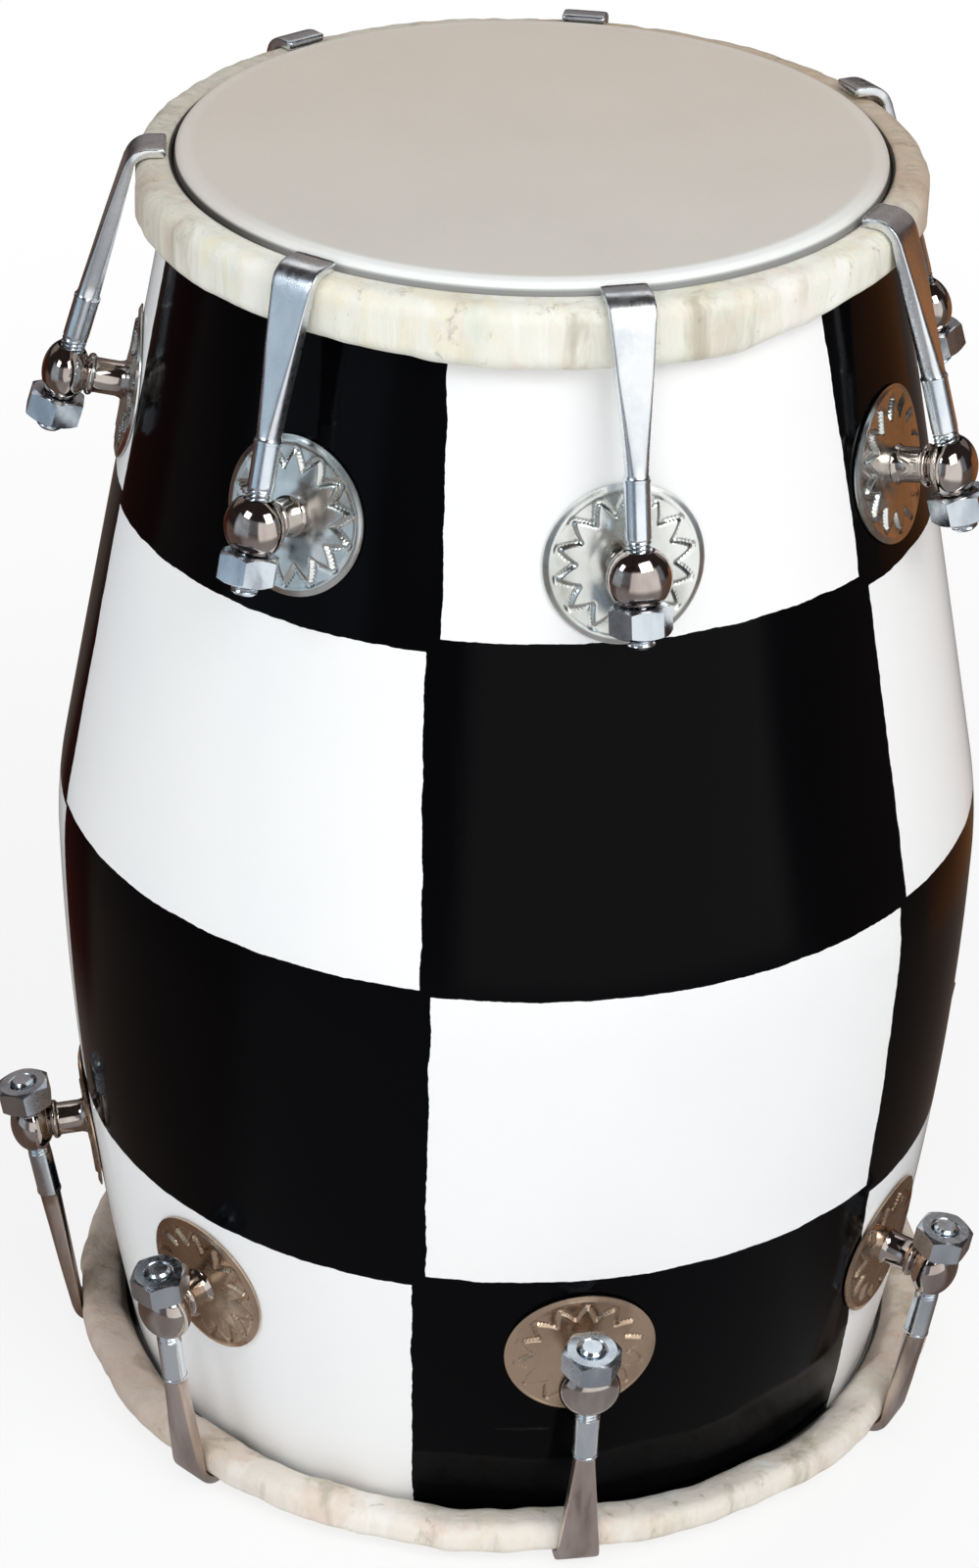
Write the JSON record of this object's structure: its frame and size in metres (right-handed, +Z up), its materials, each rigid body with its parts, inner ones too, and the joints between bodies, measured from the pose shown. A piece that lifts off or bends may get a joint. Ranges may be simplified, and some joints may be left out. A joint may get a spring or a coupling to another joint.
{
  "type": "dholak",
  "caption": "Two-headed wooden barrel drum with lapped skins drawn tight by hook bolts, nuts and eye posts, standing on its wide end.",
  "frame": {"origin": "on the barrel's axis, in the plane that the bass hooks stand on", "axes": "+Z up the barrel's axis towards the narrow treble head; -Y towards the front of the drum; +X to the right seen from the front"},
  "size_m": [0.3303, 0.3352, 0.4321],
  "materials": {
    "black_and_white_lacquer": "one-piece turned wooden barrel, lacquered in black and white checks, high gloss",
    "rawhide": "cream rawhide, slightly mottled and wrinkled where it laps the hoop",
    "loading_paste": "dark, dull, slightly cracked",
    "zinc_plated_steel": "bright zinc plate, satin, with a rolled thread",
    "polished_steel": "polished and plated",
    "stamped_steel": "thin stamped sheet, plated, with an embossed ring"
  },
  "bodies": {
    "drum": {"barrel_shell": "black_and_white_lacquer", "treble_head": "rawhide", "bass_head": "rawhide", "bass_loading_paste": "loading_paste", "treble_eye_post_1": "polished_steel", "treble_eye_post_2": "polished_steel", "treble_eye_post_3": "polished_steel", "treble_eye_post_4": "polished_steel", "treble_eye_post_5": "polished_steel", "treble_eye_post_6": "polished_steel", "treble_eye_post_7": "polished_steel", "treble_rosette_1": "stamped_steel", "treble_rosette_2": "stamped_steel", "treble_rosette_3": "stamped_steel", "treble_rosette_4": "stamped_steel", "treble_rosette_5": "stamped_steel", "treble_rosette_6": "stamped_steel", "treble_rosette_7": "stamped_steel", "bass_eye_post_1": "polished_steel", "bass_eye_post_2": "polished_steel", "bass_eye_post_3": "polished_steel", "bass_eye_post_4": "polished_steel", "bass_eye_post_5": "polished_steel", "bass_eye_post_6": "polished_steel", "bass_eye_post_7": "polished_steel", "bass_rosette_1": "stamped_steel", "bass_rosette_2": "stamped_steel", "bass_rosette_3": "stamped_steel", "bass_rosette_4": "stamped_steel", "bass_rosette_5": "stamped_steel", "bass_rosette_6": "stamped_steel", "bass_rosette_7": "stamped_steel"},
    "treble_nut_1": {"treble_nut_1": "zinc_plated_steel"},
    "treble_hook_1": {"treble_hook_1": "zinc_plated_steel"},
    "treble_nut_2": {"treble_nut_2": "zinc_plated_steel"},
    "treble_hook_2": {"treble_hook_2": "zinc_plated_steel"},
    "treble_nut_3": {"treble_nut_3": "zinc_plated_steel"},
    "treble_hook_3": {"treble_hook_3": "zinc_plated_steel"},
    "treble_nut_4": {"treble_nut_4": "zinc_plated_steel"},
    "treble_hook_4": {"treble_hook_4": "zinc_plated_steel"},
    "treble_nut_5": {"treble_nut_5": "zinc_plated_steel"},
    "treble_hook_5": {"treble_hook_5": "zinc_plated_steel"},
    "treble_nut_6": {"treble_nut_6": "zinc_plated_steel"},
    "treble_hook_6": {"treble_hook_6": "zinc_plated_steel"},
    "treble_nut_7": {"treble_nut_7": "zinc_plated_steel"},
    "treble_hook_7": {"treble_hook_7": "zinc_plated_steel"},
    "bass_nut_1": {"bass_nut_1": "zinc_plated_steel"},
    "bass_hook_1": {"bass_hook_1": "zinc_plated_steel"},
    "bass_nut_2": {"bass_nut_2": "zinc_plated_steel"},
    "bass_hook_2": {"bass_hook_2": "zinc_plated_steel"},
    "bass_nut_3": {"bass_nut_3": "zinc_plated_steel"},
    "bass_hook_3": {"bass_hook_3": "zinc_plated_steel"},
    "bass_nut_4": {"bass_nut_4": "zinc_plated_steel"},
    "bass_hook_4": {"bass_hook_4": "zinc_plated_steel"},
    "bass_nut_5": {"bass_nut_5": "zinc_plated_steel"},
    "bass_hook_5": {"bass_hook_5": "zinc_plated_steel"},
    "bass_nut_6": {"bass_nut_6": "zinc_plated_steel"},
    "bass_hook_6": {"bass_hook_6": "zinc_plated_steel"},
    "bass_nut_7": {"bass_nut_7": "zinc_plated_steel"},
    "bass_hook_7": {"bass_hook_7": "zinc_plated_steel"}
  },
  "joints": [
    {"name": "treble_nut_turn_1", "type": "hinge", "parent": "drum", "child": "treble_nut_1", "pos_m": [-0.14297, -0.01, 0.35542], "axis": [-0.2902, -0.0203, -0.9567], "range_deg": [0, 1440]},
    {"name": "treble_hook_draw_1", "type": "slide", "parent": "drum", "child": "treble_hook_1", "axis": [0.2902, 0.0203, 0.9567], "range_m": [0, 0.005]},
    {"name": "treble_nut_turn_2", "type": "hinge", "parent": "drum", "child": "treble_nut_2", "pos_m": [-0.07741, -0.11829, 0.3566], "axis": [-0.1478, -0.2259, -0.9629], "range_deg": [0, 1440]},
    {"name": "treble_hook_draw_2", "type": "slide", "parent": "drum", "child": "treble_hook_2", "axis": [0.1478, 0.2259, 0.9629], "range_m": [0, 0.005]},
    {"name": "treble_nut_turn_3", "type": "hinge", "parent": "drum", "child": "treble_nut_3", "pos_m": [0.03369, -0.13613, 0.35191], "axis": [0.0575, -0.2324, -0.9709], "range_deg": [0, 1440]},
    {"name": "treble_hook_draw_3", "type": "slide", "parent": "drum", "child": "treble_hook_3", "axis": [-0.0575, 0.2324, 0.9709], "range_m": [0, 0.005]},
    {"name": "treble_nut_turn_4", "type": "hinge", "parent": "drum", "child": "treble_nut_4", "pos_m": [0.12811, -0.06248, 0.35475], "axis": [0.2502, -0.122, -0.9605], "range_deg": [0, 1440]},
    {"name": "treble_hook_draw_4", "type": "slide", "parent": "drum", "child": "treble_hook_4", "axis": [-0.2502, 0.122, 0.9605], "range_m": [0, 0.005]},
    {"name": "treble_nut_turn_5", "type": "hinge", "parent": "drum", "child": "treble_nut_5", "pos_m": [0.12869, 0.0573, 0.35495], "axis": [0.2732, 0.0075, -0.9619], "range_deg": [0, 1440]},
    {"name": "treble_hook_draw_5", "type": "slide", "parent": "drum", "child": "treble_hook_5", "axis": [-0.2732, -0.0075, 0.9619], "range_m": [0, 0.005]},
    {"name": "treble_nut_turn_6", "type": "hinge", "parent": "drum", "child": "treble_nut_6", "pos_m": [0.01981, 0.14096, 0.35523], "axis": [0.0386, 0.275, -0.9607], "range_deg": [0, 1440]},
    {"name": "treble_hook_draw_6", "type": "slide", "parent": "drum", "child": "treble_hook_6", "axis": [-0.0386, -0.275, 0.9607], "range_m": [0, 0.005]},
    {"name": "treble_nut_turn_7", "type": "hinge", "parent": "drum", "child": "treble_nut_7", "pos_m": [-0.09338, 0.10743, 0.35523], "axis": [-0.1822, 0.2096, -0.9607], "range_deg": [0, 1440]},
    {"name": "treble_hook_draw_7", "type": "slide", "parent": "drum", "child": "treble_hook_7", "axis": [0.1822, -0.2096, 0.9607], "range_m": [0, 0.005]},
    {"name": "bass_nut_turn_1", "type": "hinge", "parent": "drum", "child": "bass_nut_1", "pos_m": [-0.16122, -0.01894, 0.07993], "axis": [-0.1727, -0.0203, 0.9848], "range_deg": [0, 1440]},
    {"name": "bass_hook_draw_1", "type": "slide", "parent": "drum", "child": "bass_hook_1", "axis": [0.1727, 0.0203, -0.9848], "range_m": [0, 0.005]},
    {"name": "bass_nut_turn_2", "type": "hinge", "parent": "drum", "child": "bass_nut_2", "pos_m": [-0.10857, -0.11602, 0.07447], "axis": [-0.0947, -0.1012, 0.9904], "range_deg": [0, 1440]},
    {"name": "bass_hook_draw_2", "type": "slide", "parent": "drum", "child": "bass_hook_2", "axis": [0.0947, 0.1012, -0.9904], "range_m": [0, 0.005]},
    {"name": "bass_nut_turn_3", "type": "hinge", "parent": "drum", "child": "bass_nut_3", "pos_m": [0.02751, -0.15599, 0.07837], "axis": [0.0216, -0.1223, 0.9923], "range_deg": [0, 1440]},
    {"name": "bass_hook_draw_3", "type": "slide", "parent": "drum", "child": "bass_hook_3", "axis": [-0.0216, 0.1223, -0.9923], "range_m": [0, 0.005]},
    {"name": "bass_nut_turn_4", "type": "hinge", "parent": "drum", "child": "bass_nut_4", "pos_m": [0.1414, -0.07487, 0.06987], "axis": [0.1463, -0.0774, 0.9862], "range_deg": [0, 1440]},
    {"name": "bass_hook_draw_4", "type": "slide", "parent": "drum", "child": "bass_hook_4", "axis": [-0.1463, 0.0774, -0.9862], "range_m": [0, 0.005]},
    {"name": "bass_nut_turn_5", "type": "hinge", "parent": "drum", "child": "bass_nut_5", "pos_m": [0.14575, 0.06796, 0.07598], "axis": [0.1473, 0.0687, 0.9867], "range_deg": [0, 1440]},
    {"name": "bass_hook_draw_5", "type": "slide", "parent": "drum", "child": "bass_hook_5", "axis": [-0.1473, -0.0687, -0.9867], "range_m": [0, 0.005]},
    {"name": "bass_nut_turn_6", "type": "hinge", "parent": "drum", "child": "bass_nut_6", "pos_m": [0.03617, 0.15669, 0.07598], "axis": [0.0366, 0.1584, 0.9867], "range_deg": [0, 1440]},
    {"name": "bass_hook_draw_6", "type": "slide", "parent": "drum", "child": "bass_hook_6", "axis": [-0.0366, -0.1584, -0.9867], "range_m": [0, 0.005]},
    {"name": "bass_nut_turn_7", "type": "hinge", "parent": "drum", "child": "bass_nut_7", "pos_m": [-0.10337, 0.12319, 0.07598], "axis": [-0.1045, 0.1245, 0.9867], "range_deg": [0, 1440]},
    {"name": "bass_hook_draw_7", "type": "slide", "parent": "drum", "child": "bass_hook_7", "axis": [0.1045, -0.1245, -0.9867], "range_m": [0, 0.005]}
  ],
  "couplings": [
    {"joint": "treble_nut_turn_1", "follows": "treble_hook_draw_1", "rad_per_m": 5026.5},
    {"joint": "treble_nut_turn_2", "follows": "treble_hook_draw_2", "rad_per_m": 5026.5},
    {"joint": "treble_nut_turn_3", "follows": "treble_hook_draw_3", "rad_per_m": 5026.5},
    {"joint": "treble_nut_turn_4", "follows": "treble_hook_draw_4", "rad_per_m": 5026.5},
    {"joint": "treble_nut_turn_5", "follows": "treble_hook_draw_5", "rad_per_m": 5026.5},
    {"joint": "treble_nut_turn_6", "follows": "treble_hook_draw_6", "rad_per_m": 5026.5},
    {"joint": "treble_nut_turn_7", "follows": "treble_hook_draw_7", "rad_per_m": 5026.5},
    {"joint": "bass_nut_turn_1", "follows": "bass_hook_draw_1", "rad_per_m": 5026.5},
    {"joint": "bass_nut_turn_2", "follows": "bass_hook_draw_2", "rad_per_m": 5026.5},
    {"joint": "bass_nut_turn_3", "follows": "bass_hook_draw_3", "rad_per_m": 5026.5},
    {"joint": "bass_nut_turn_4", "follows": "bass_hook_draw_4", "rad_per_m": 5026.5},
    {"joint": "bass_nut_turn_5", "follows": "bass_hook_draw_5", "rad_per_m": 5026.5},
    {"joint": "bass_nut_turn_6", "follows": "bass_hook_draw_6", "rad_per_m": 5026.5},
    {"joint": "bass_nut_turn_7", "follows": "bass_hook_draw_7", "rad_per_m": 5026.5}
  ]
}
